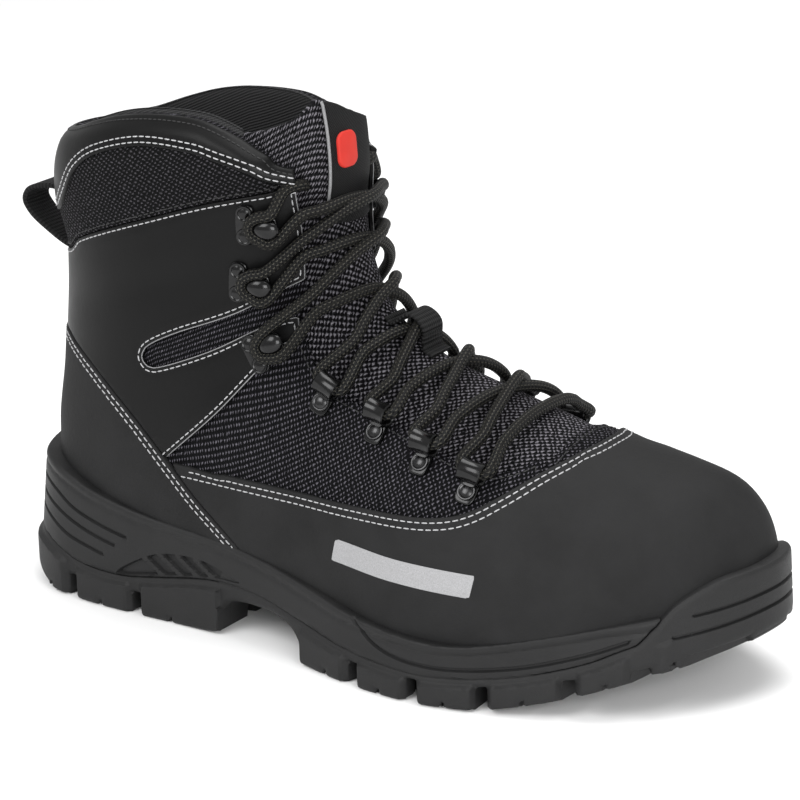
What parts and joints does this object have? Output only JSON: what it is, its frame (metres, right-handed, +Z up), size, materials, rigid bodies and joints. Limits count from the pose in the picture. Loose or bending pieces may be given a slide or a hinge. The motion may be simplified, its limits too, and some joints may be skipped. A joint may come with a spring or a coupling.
{
  "type": "wading boot",
  "caption": "Right ankle-high wading boot: hollow mesh and leather upper with padded collar and tongue, D-ring and hook lacing, and a lugged rubber sole.",
  "frame": {"origin": "on the floor, under the middle of the boot's box", "axes": "+X from heel to toe, +Y to the wearer's left, which is the inner (arch) side, +Z up"},
  "size_m": [0.3212, 0.1164, 0.2056],
  "materials": {
    "rubber": "matt, finely textured",
    "midsole": "matt moulded foam",
    "mesh": "coarse basket weave",
    "nubuck": "matt, finely grained",
    "leather": "satin, smooth",
    "lining": "ribbed neoprene",
    "webbing": "woven tape",
    "lace": "round braid with olive flecks",
    "hardware": "gloss black"
  },
  "bodies": {
    "root": {"outsole": "rubber", "midsole": "midsole", "insole": "lining", "upper": "mesh", "rand": "nubuck", "heel_counter": "nubuck", "ankle_panel_outer": "leather", "ankle_panel_inner": "leather", "padded_collar": "leather", "collar_lining": "lining", "tongue": "mesh", "tongue_panel": "leather", "pull_loop": "webbing", "lace_keeper": "webbing", "d_ring_1_outer": "hardware", "d_ring_1_inner": "hardware", "d_ring_2_outer": "hardware", "d_ring_2_inner": "hardware", "d_ring_3_outer": "hardware", "d_ring_3_inner": "hardware", "d_ring_4_outer": "hardware", "d_ring_4_inner": "hardware", "hook_1_outer": "hardware", "hook_1_inner": "hardware", "hook_2_outer": "hardware", "hook_2_inner": "hardware", "hook_3_outer": "hardware", "hook_3_inner": "hardware", "lace_bar": "lace", "lace_cross_1": "lace", "lace_cross_2": "lace", "lace_cross_3": "lace", "lace_cross_4": "lace", "lace_cross_5": "lace", "lace_cross_6": "lace"}
  },
  "joints": []
}
